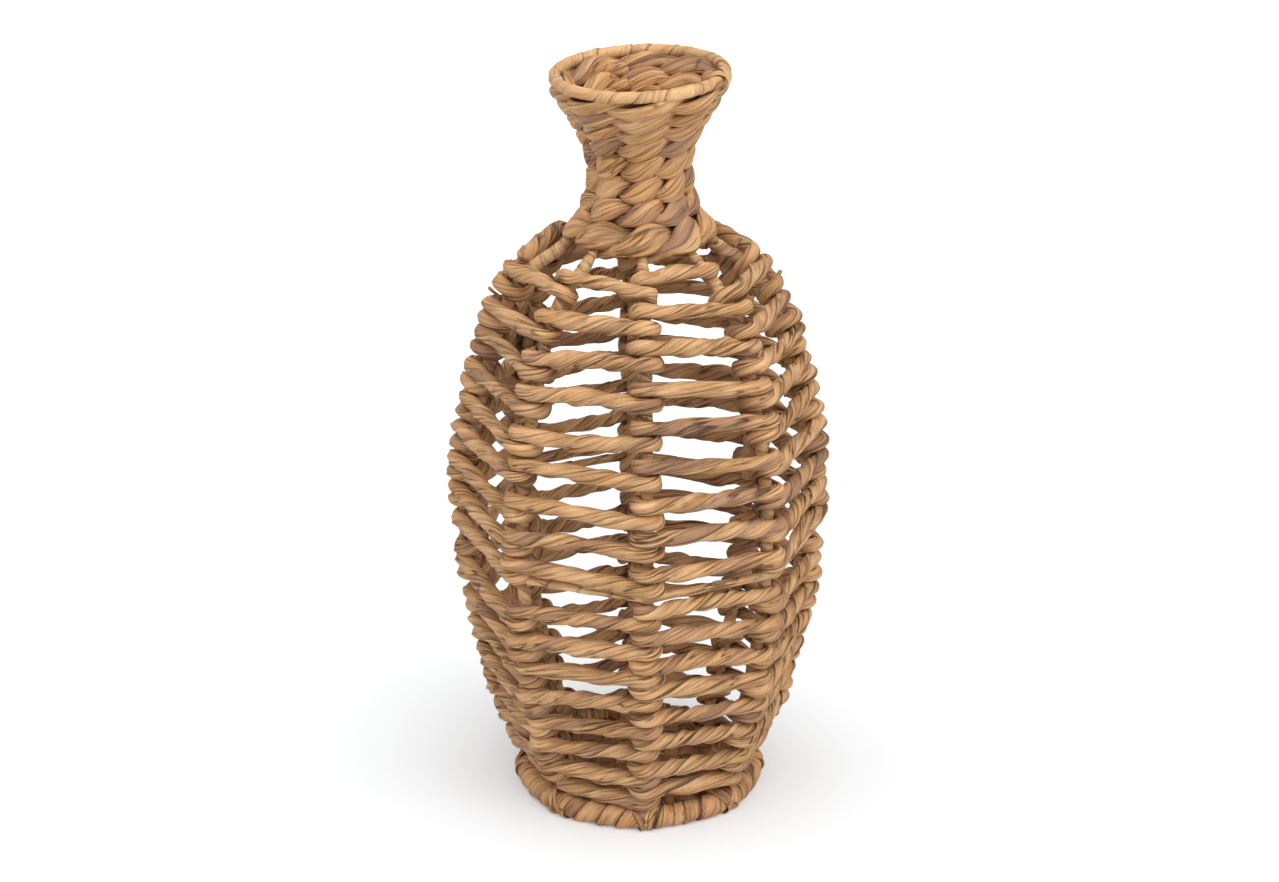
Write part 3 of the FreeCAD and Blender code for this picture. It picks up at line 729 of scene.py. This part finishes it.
FOOT_RAISE = 0.3  # the foot's skin lies this much above its solid's
RIB_RING_STEP = 0.85
RIB_TOP_TAPER = 14.0  # a rib's binding thins out over this length
KNOT_TURN = radians(70)  # where the rim's strip ends
WOBBLES = range(3, 12)  # waves to a hoop or rib by which its strip wanders
EDGE_WOBBLE = 0.1
LIFT_RANGE = (0.35, 1.2)  # of each turn, as a share of the usual lift
TURN_TONE = 0.55
TIE_SPACING = 1.1
TIE_POINTS = 120
TIE_SINK = 0.9  # how much closer a tie lies under the hoop
TIE_STRAY = 0.8
LASHING_TIES = ((-4.6, 4.0), (5.2, -2.6))  # offset along the hoop and slant
LASHING_HALF_WIDTHS = (3.0, 4.1)
HOOP_TIE_REACH = 7.9  # of a lashing, round the base hoop
FOOT_TIE_REACH = 4.7  # and round the rib's foot
KNOT_TIES = ((-3.0, 2.4, 4.9), (1.5, -3.0, 5.3), (4.6, 1.6, 4.8))  # the same, and reach
KNOT_HALF_WIDTHS = (1.8, 2.6)
LOOSE_POINTS = 14


def bound(rng, line, up, radius, strip, columns, closed, lift, ripple=0.25, size=1.0,
          spread=0.13, dark=0.14, lengthwise=False):
    """Leaf strip wound round a hoop or rib: its edge runs round the outline and on by one
    strip's width a turn; each turn stands proud at its edge and slopes down to where the
    next covers it. Lifts and tones belong to places along the strip, which is the number of
    the turn less the share of the turn already made. The leaf's fibres run round with the
    strip, or lengthwise where it is wound long."""
    rise, out = ring_frames(line, up, closed)
    whole = run_along(np.concatenate([line, line[:1]]) if closed else line)[-1]
    run = run_along(line)
    count = max(1, round(whole / strip))
    angle = np.linspace(0, tau, columns, endpoint=False)
    sweep = tau * run / whole
    wander = sum(rng.normal() * spread * np.cos(m * sweep + rng.uniform(0, 6)) for m in WOBBLES)
    around = angle / tau
    turns = (count * run / whole + wander)[:, None] + around
    turns = turns + EDGE_WOBBLE * np.sin(angle + 3 * sweep[:, None])
    number = np.floor(turns).astype(int)
    share = turns - number
    strip_place = number - around
    cell = np.floor(strip_place).astype(int)
    part = smooth(strip_place - cell)

    def per_turn(values):
        return values[cell % count] * (1 - part) + values[(cell + 1) % count] * part

    lifts = per_turn(rng.uniform(*LIFT_RANGE, count)) * lift
    slopes = per_turn(rng.normal(size=count))
    relief = lifts * ((1 - share) ** 1.2 - 0.4)
    relief = relief - 0.5 * lifts * np.clip((share - 0.88) / 0.12, 0, 1)
    relief = relief + ripple * 0.5 * np.sin(share * 9 + 3 * slopes) * (1 - share)
    reach = radius * np.reshape(size, (-1, 1)) + relief
    ring = -rise[:, None] * np.cos(angle)[:, None] - out[:, None] * np.sin(angle)[:, None]
    points = line[:, None] + ring * reach[..., None]
    # Painted shade: darker over the last share of each turn, set by dark, where the next turn
    # covers it, and the more so the higher the turn stands.
    painted_shade = np.clip((share - 1 + dark) / dark, 0, 1) * np.clip(lifts / lift, 0, 1)
    tone = per_turn(rng.normal(size=count)) * TURN_TONE - 0.1
    skin = surface(points, {"tone": tone, "painted_shade": painted_shade}, angle * radius, run, closed)
    if lengthwise:
        return skin
    flat, loops, starts, _, values = skin
    grain = np.stack([share * strip, strip_place * tau * radius], -1).reshape(-1, 2)
    grain = np.concatenate([grain, grain[:1], grain[-1:]])
    return flat, loops, starts, grain[loops], values


def hoop_points(radius, height, spacing, bulge=0.0):
    """A hoop's middle line, a little drawn out towards its ribs."""
    count = int(tau * radius / spacing)
    turn = pi + np.linspace(0, tau, count, endpoint=False)
    reach = radius + bulge * np.cos(RIB_COUNT * (turn - FRONT_RIB_TURN))
    return turned_to(reach, 0, height, turn)


def belly_hoop_points(spacing):
    """The belly hoop's middle line: an arc round each rib and straight between the ribs."""
    sweep = np.linspace(-HALF_STEP, HALF_STEP, 7)
    across = MID_REACH + MID_HOOP_SEAT * (np.cos(sweep) - 1)
    corners = turned_to(across, MID_HOOP_SEAT * np.sin(sweep), MID_HOOP_HEIGHT,
                        RIB_TURNS[:, None])
    return evenly(corners.reshape(-1, 3), spacing)


def hoop(name, seed, line, material, **sizes):
    """One hoop, wound with leaf strip round its closed middle line."""
    skin = bound(seeded(seed), line, np.broadcast_to(UP, line.shape), closed=True, **sizes)
    piece("strip_" + name, [skin], material, [name + "_binding"])


def hoops(material, foot_material, rim_material):
    """The thick foot, the belly hoop and the rim."""
    foot_line = hoop_points(BASE_HOOP[0], BASE_HOOP[1] + FOOT_RAISE, spacing=0.7, bulge=0.5)
    hoop("base_hoop", "base hoop", foot_line, foot_material, radius=6.85, strip=12.0,
         columns=60, lift=1.4, ripple=0.55, spread=0.22, dark=0.2)
    hoop("mid_hoop", "belly hoop", belly_hoop_points(spacing=0.9), material, radius=2.75,
         strip=24.0, columns=20, lift=0.6, lengthwise=True)
    rim_line = tilted(hoop_points(RIM_HOOP[0], RIM_HOOP[1], spacing=0.6))
    hoop("rim_hoop", "rim hoop", rim_line, rim_material, radius=3.55, strip=14.0, columns=32,
         lift=0.75, ripple=0.35, dark=0.1)


def rib_bindings(material):
    """The strip wound round each rib up to the throat, where it thins out."""
    place = np.arange(0, RIB_BINDING_END, RIB_RING_STEP)
    x, z, lean = rib_at(place)
    size = 0.6 + 0.4 * np.clip((RIB_BINDING_END - place) / RIB_TOP_TAPER, 0, 1)
    for rib, angle in enumerate(RIB_TURNS):
        line = turned_to(x, 0, z, angle)
        out = outward(lean)
        up = turned_to(out[:, 0], 0, out[:, 1], angle)
        skin = bound(seeded("rib" + str(rib)), line, up, RIB_RADIUS, strip=7.5, columns=20,
                     closed=False, lift=0.4, size=size)
        number = str(rib + 1)
        piece("strip_rib_" + number, [skin], material, ["rib_binding_" + number])


def tie_line(middle, reach, foot, foot_reach, angle, offset, skew):
    """A loop pulled tight round a hoop's section and a round beside it: in each direction it
    touches whichever of the two reaches further. It slants along the hoop."""
    face = np.linspace(0, tau, TIE_POINTS, endpoint=False)
    normal = heading(face)
    near = middle + normal * (reach - TIE_SINK * np.clip(-np.sin(face), 0, 1) ** 2)[:, None]
    far = foot + normal * foot_reach
    further = np.sum((near - far) * normal, -1) > 0
    section = np.where(further[:, None], near, far)
    along = offset + skew * np.cos(face + 0.6)
    return evenly(turned_to(section[:, 0], along, section[:, 1], angle), TIE_SPACING)


def lashings(material):
    """Two narrow strips tied round the base hoop and the foot of each rib."""
    hoop_middle = np.array([BASE_HOOP[0], BASE_HOOP[1] + FOOT_RAISE])
    foot = np.array(rib_at(0)[:2])
    for rib, angle in enumerate(RIB_TURNS):
        rng = seeded("lashing" + str(rib))
        loops = []
        for offset, skew in LASHING_TIES:
            offset = offset + rng.normal() * TIE_STRAY
            skew = skew + rng.normal() * TIE_STRAY
            line = tie_line(hoop_middle, HOOP_TIE_REACH, foot, FOOT_TIE_REACH, angle, offset,
                            skew)
            half_width = rng.uniform(*LASHING_HALF_WIDTHS)
            loops.append(flat_strip(rng, line, line - line.mean(0), half_width, 0.55, closed=True))
        piece("lashing_" + str(rib + 1), loops, material)


def rim_knot(material):
    """Where the rim's strip ends: three rough turns over each other."""
    rng = seeded("rim knot")
    hoop_middle = np.array(RIM_HOOP[:2])
    parts = []
    for offset, skew, reach in KNOT_TIES:
        line = tie_line(hoop_middle, reach, hoop_middle, 1.0, KNOT_TURN, offset, skew)
        line = tilted(line)
        half_width = rng.uniform(*KNOT_HALF_WIDTHS)
        parts.append(flat_strip(rng, line, line - line.mean(0), half_width, 0.5, closed=True,
                                tone_bias=0.4))
    piece("rim_knot", parts, material)


LOOSE_ENDS = (
    # place up the rib, rib, how far to its side, length, half width, how much it points up
    (330.0, 6, -3.0, 6.5, 2.0, 0.3),
    (66.0, 6, 4.0, 6.0, 2.6, -0.4),
    (338.0, 2, 3.0, 5.5, 2.2, 0.4),
    (370.0, 2, -5.0, 5.5, 2.2, 0.3),
)


def loose_ends(material):
    """Short ends of leaf strip that stand out from the weave."""
    ends = []
    for number, (place, rib, side, length, width, rise) in enumerate(LOOSE_ENDS):
        rng = seeded("loose end" + str(number))
        angle = RIB_TURNS[rib]
        x, z, lean = rib_at(place)
        share = np.linspace(0, 1, LOOSE_POINTS)
        reach = RIB_RADIUS + 3 + length * share
        across = x + np.sin(lean) * reach
        height = z - np.cos(lean) * reach + length * rise * share ** 2
        line = turned_to(across, side + 2.0 * share ** 2 * np.sign(side), height, angle)
        face = np.broadcast_to(turned_to(0.3, 0.0, 1.0, angle), line.shape)
        ends.append(flat_strip(rng, line, face, width * (1 - 0.3 * share), 0.45, blunt=1.5))
    piece("loose_ends", ends, material)


MAT_PITCH = 10.4  # from one strip of the mat to the next
MAT_RADIUS = 65.3
MAT_HEIGHT = 9.0  # of the mat's middle
MAT_RING_STEP = 1.5
MAT_HALF_WIDTH = 4.85  # of a strip
MAT_HALF_THICKNESS = 0.6
MAT_STRAY = (0.3, 30.0)
MAT_WAVE = 1.05  # how far a strip rises and dips as it is plaited


def base_mat(material):
    """The mat that closes the bottom, cut to a round: flat strips both ways, each over one
    and under the next in a wave."""
    strips = []
    count = int(MAT_RADIUS / MAT_PITCH)
    for way in (0, 1):
        for number in range(-count, count + 1):
            rng = seeded("mat" + str(way) + str(number + count))
            aside = number * MAT_PITCH
            half = sqrt(MAT_RADIUS ** 2 - aside ** 2)
            run = np.linspace(-half, half, int(half * 2 / MAT_RING_STEP))
            wave = np.cos(pi * (run / MAT_PITCH + number + way))
            line = np.stack([run, aside + drift(rng, run, MAT_STRAY)[:, 0],
                             MAT_HEIGHT + MAT_WAVE * wave], -1)
            if way:
                line = line[:, [1, 0, 2]] * np.array([-1, 1, 1])
            strips.append(flat_strip(rng, line, np.broadcast_to(UP, line.shape),
                                     MAT_HALF_WIDTH + 0 * run, MAT_HALF_THICKNESS, tone_bias=0.5))
    piece("plait_base_mat", strips, material, ["base_mat"])


# Finishes

class Reading:
    """A value read from a node, with arithmetic that adds Math nodes."""

    def __init__(self, finish, socket):
        self.finish = finish
        self.socket = socket

    def __add__(self, other):
        return self.finish.maths("ADD", self, other)

    def __sub__(self, other):
        return self.finish.maths("SUBTRACT", self, other)

    def __mul__(self, other):
        return self.finish.maths("MULTIPLY", self, other)


class Finish:
    """The nodes of a material, or of the sky, as they are mixed."""

    def __init__(self, owner):
        owner.use_nodes = True
        self.owner = owner
        self.tree = owner.node_tree
        self.tree.nodes.clear()

    def node(self, kind, inputs=None, output=0, **settings):
        made = self.tree.nodes.new(kind)
        for key, value in settings.items():
            setattr(made, key, value)
        for key, value in (inputs or {}).items():
            if isinstance(value, Reading):
                self.tree.links.new(value.socket, made.inputs[key])
            else:
                made.inputs[key].default_value = value
        return Reading(self, made.outputs[output]) if made.outputs else None

    def maths(self, operation, a, b=0.0):
        return self.node("ShaderNodeMath", {0: a, 1: b}, operation=operation)

    def between(self, value, low, high):
        """How far a value has come from low to high, from 0 to 1."""
        return self.node("ShaderNodeMapRange", {"Value": value, "From Min": low, "From Max": high},
                         clamp=True)

    def blend(self, share, first, second):
        """One colour turning to another."""
        return self.node("ShaderNodeMix", {0: share, 6: first, 7: second}, 2, data_type="RGBA")

    def field(self, name):
        return self.node("ShaderNodeAttribute", output=2, attribute_name=name)

    def looked_at(self):
        """1 where the camera or a reflection sees it, 0 where it lights the rest."""
        seen, shiny = [self.node("ShaderNodeLightPath", output=k) for k in (0, 3)]
        return self.maths("MAXIMUM", seen, shiny)

    def noise(self, vector, scale, detail=3.0, roughness=0.55):
        return self.node("ShaderNodeTexNoise", {"Vector": vector, "Scale": scale,
                                                "Detail": detail, "Roughness": roughness})

    def fibres(self, grain, across, along, detail=1.0, roughness=0.5):
        """Noise drawn out along the strip, by its frequencies across and along it."""
        drawn = self.node("ShaderNodeVectorMath", {0: grain, 1: (across, along, 1.0)},
                          operation="MULTIPLY")
        return self.noise(drawn, 1.0, detail, roughness)

    def surface(self, colour, roughness, height, depth, plain):
        """Closes the material with its colour, roughness and fine relief."""
        relief = self.node("ShaderNodeBump", {"Strength": BUMP_STRENGTH, "Distance": depth,
                                              "Height": height})
        inputs = {"Base Color": colour, "Roughness": roughness, "Normal": relief}
        inputs.update(plain)
        shader = self.node("ShaderNodeBsdfPrincipled", inputs)
        self.node("ShaderNodeOutputMaterial", {"Surface": shader})
        return self.owner


def tint(*levels):
    """A colour from its everyday 0 to 255 values."""
    shares = [level / 255 for level in levels]
    return [share / 12.92 if share < 0.04045 else ((share + 0.055) / 1.055) ** 2.4
            for share in shares] + [1.0]


BUMP_STRENGTH = 0.8
LEAF_RELIEF = 0.0011  # metres
IRON_RELIEF = 0.0003
MAUVE_RANGE = 0.4

# Of each leaf: its pale, deep and mauve colours, a dark colour for its fibres and specks and
# for painted shade in folds and creases, the reading from which it turns mauve, and how
# strongly the painted shade in its folds shows
LEAF_FINISHES = {
    "cord_leaf": (((222, 177, 130), (190, 139, 87), (158, 118, 91), (48, 23, 9)), 0.92, 1.0),
    "neck_leaf": (((221, 175, 127), (196, 142, 87), (160, 120, 95), (50, 25, 10)), 0.94, 0.8),
    "strip_leaf": (((224, 182, 136), (194, 145, 94), (160, 120, 92), (60, 34, 18)), 0.88, 1.0),
    "rim_leaf": (((230, 188, 140), (206, 158, 106), (176, 134, 102), (80, 46, 24)), 1.05, 0.35),
    "foot_leaf": (((216, 167, 118), (188, 135, 84), (154, 113, 84), (50, 28, 15)), 0.82, 1.0),
    "mat_leaf": (((216, 162, 106), (184, 130, 78), (160, 114, 76), (52, 31, 18)), 0.95, 1.0),
}


def dried_leaf(name, colours, mauve_from, fold_shade_strength):
    """Dried leaf: straw fibres along the strip turning to amber, with mauve-brown lengths and
    small specks, and painted shade: dark thin lines in its folds and creases, and dark creases
    where strips tuck under."""
    pale, deep, mauve, shade_and_grain_dark = [tint(*colour) for colour in colours]
    finish = Finish(bpy.data.materials.new(name))
    grain = finish.node("ShaderNodeUVMap", uv_map="grain")
    place = finish.node("ShaderNodeTexCoord", output=3)
    fibre = finish.fibres(grain, 1.3, 0.05, detail=3.0, roughness=0.6)
    streak = finish.fibres(grain, 0.4, 0.025, detail=2.0)
    folds = finish.fibres(grain, 0.2, 0.02)
    creases = finish.fibres(grain, 0.55, 0.018)
    band = finish.fibres(grain, 0.13, 0.008, detail=2.0)
    patch = finish.noise(place, 45.0, 2.0, 0.5)
    speck = finish.noise(place, 420.0, 2.0, 0.6)
    # Painted shade: dark thin lines along the leaf's folds and creases, where its relief also dips.
    line = finish.between(finish.maths("ABSOLUTE", folds - 0.5), 0.026, 0.008)
    line = line * finish.between(patch, 0.42, 0.55) * fold_shade_strength
    thin = finish.between(finish.maths("ABSOLUTE", creases - 0.5), 0.022, 0.006)
    thin = thin * finish.between(fibre, 0.4, 0.6) * fold_shade_strength
    colour = finish.blend(finish.between(streak * 0.6 + patch * 0.4, 0.38, 0.62), pale, deep)
    share = finish.between(finish.field("tone") * 0.55 + streak * 0.5 + band * 1.2,
                           mauve_from, mauve_from + MAUVE_RANGE)
    colour = finish.blend(share * 0.85, colour, mauve)
    painted_shade = finish.field("painted_shade")
    # Towards the dark colour: fibres and specks are the leaf's own; the fold and crease lines and
    # the field from the pieces are painted shade.
    for darker in (finish.between(fibre, 0.58, 0.78) * 0.36, line * 0.75, thin * 0.55,
                   finish.between(speck, 0.67, 0.75) * 0.5, painted_shade * 0.9):
        colour = finish.blend(darker, colour, shade_and_grain_dark)
    roughness = fibre * 0.25 + 0.48
    height = fibre * 0.4 + streak * 0.5 - line * 0.6 - thin * 0.45 - painted_shade * 0.3
    return finish.surface(colour, roughness, height, LEAF_RELIEF, {"Specular IOR Level": 0.3})


def dark_iron(name):
    """Wire and weld beads: thin grey-green lacquer over iron, with brown rust patches."""
    finish = Finish(bpy.data.materials.new(name))
    place = finish.node("ShaderNodeTexCoord", output=3)
    patch = finish.noise(place, 120.0, 4.0, 0.6)
    fine = finish.noise(place, 900.0, 2.0, 0.5)
    rust = finish.between(patch, 0.5, 0.66)
    colour = finish.blend(rust, tint(66, 62, 52), tint(112, 76, 50))
    colour = finish.blend(finish.between(fine, 0.6, 0.75) * 0.4, colour, tint(38, 33, 29))
    return finish.surface(colour, rust * 0.35 + 0.42, patch * 0.6 + fine * 0.4, IRON_RELIEF,
                          {"Metallic": 0.3})


WHITE = (1.0, 1.0, 1.0, 1.0)
GROUND_COLOUR = (0.778, 0.796, 0.81, 1.0)


def white_ground():
    """Pale ground that shows the vase's shadow, with a glow that the camera and reflections
    see; the glow is painted light that grows whiter behind the vase and pales the shadow there.
    """
    finish = Finish(bpy.data.materials.new("ground"))
    place = finish.node("ShaderNodeTexCoord", output=3)
    back = finish.node("ShaderNodeSeparateXYZ", {0: place}, 1)
    # Glow: an even part keeps the open ground white; its rise behind the vase is painted light that
    # pales the vase's shadow there.
    painted_glow = finish.between(back, -0.02, 0.2) * 0.12 + 0.16
    matt = finish.node("ShaderNodeBsdfDiffuse", {"Color": GROUND_COLOUR})
    glow = finish.looked_at() * painted_glow
    glow = finish.node("ShaderNodeEmission", {"Color": WHITE, "Strength": glow})
    both = finish.node("ShaderNodeAddShader", {0: matt, 1: glow})
    finish.node("ShaderNodeOutputMaterial", {"Surface": both})
    return finish.owner


# The studio

AMBIENT = 0.245  # light from the sky
GROUND_REACH = 5.0  # metres, like the camera's place and target
CAMERA_PLACE = (0.0, -1.954, 1.048)
CAMERA_TARGET = (0.0, 0.0, 0.236)
SENSOR_WIDTH = 36.0
LENS = 94.4
SIGHT = 50.0  # how far the camera sees


def ground():
    corners = [(GROUND_REACH * x, GROUND_REACH * y, 0)
               for x, y in ((-1, -1), (1, -1), (1, 1), (-1, 1))]
    mesh = bpy.data.meshes.new("ground")
    mesh.from_pydata(corners, [], [(0, 1, 2, 3)])
    mesh.materials.append(white_ground())
    floor = placed("ground", mesh)


def sky():
    """Even white light from all round, seen as white."""
    world = bpy.data.worlds.new("studio")
    bpy.context.scene.world = world
    light = Finish(world)
    strength = light.node("ShaderNodeMapRange", {"Value": light.looked_at(), "To Min": AMBIENT})
    glow = light.node("ShaderNodeBackground", {"Color": WHITE, "Strength": strength})
    light.node("ShaderNodeOutputWorld", {"Surface": glow})


def lamp(name, strength, softness, azimuth, elevation):
    """A broad lamp far away, by its degrees to the right of the front and above level."""
    light = bpy.data.lights.new(name, "SUN")
    light.energy = strength
    light.angle = radians(softness)
    lit = placed(name, light)
    lit.rotation_euler = (radians(90 - elevation), 0, radians(azimuth))


def camera():
    data = bpy.data.cameras.new("view")
    data.sensor_width = SENSOR_WIDTH
    data.lens = LENS
    data.clip_end = SIGHT
    seen = placed("view", data)
    seen.location = CAMERA_PLACE
    sight = Vector(CAMERA_TARGET) - Vector(CAMERA_PLACE)
    seen.rotation_euler = sight.to_track_quat("-Z", "Y").to_euler()
    bpy.context.scene.camera = seen


def dress_wires(material):
    """The frame's own wires and beads keep their shapes and take the iron finish."""
    for name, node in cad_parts.items():
        if "wire" in name or "weld" in name or "hub" in name:
            node.data.materials.clear()
            node.data.materials.append(material)


def build():
    leaf = {name: dried_leaf(name, *looks) for name, looks in LEAF_FINISHES.items()}
    iron = dark_iron("dark_iron")
    body_cords(leaf["cord_leaf"])
    base_mat(leaf["mat_leaf"])
    neck(leaf["neck_leaf"])
    hoops(leaf["strip_leaf"], leaf["foot_leaf"], leaf["rim_leaf"])
    rib_bindings(leaf["strip_leaf"])
    lashings(leaf["foot_leaf"])
    rim_knot(leaf["rim_leaf"])
    loose_ends(leaf["strip_leaf"])
    dress_wires(iron)


build()
ground()
sky()
lamp("key", strength=2.78, softness=95, azimuth=-4, elevation=68)
lamp("fill", strength=1.13, softness=70, azimuth=46, elevation=24)
camera()
bpy.context.scene.view_settings.view_transform = "Standard"

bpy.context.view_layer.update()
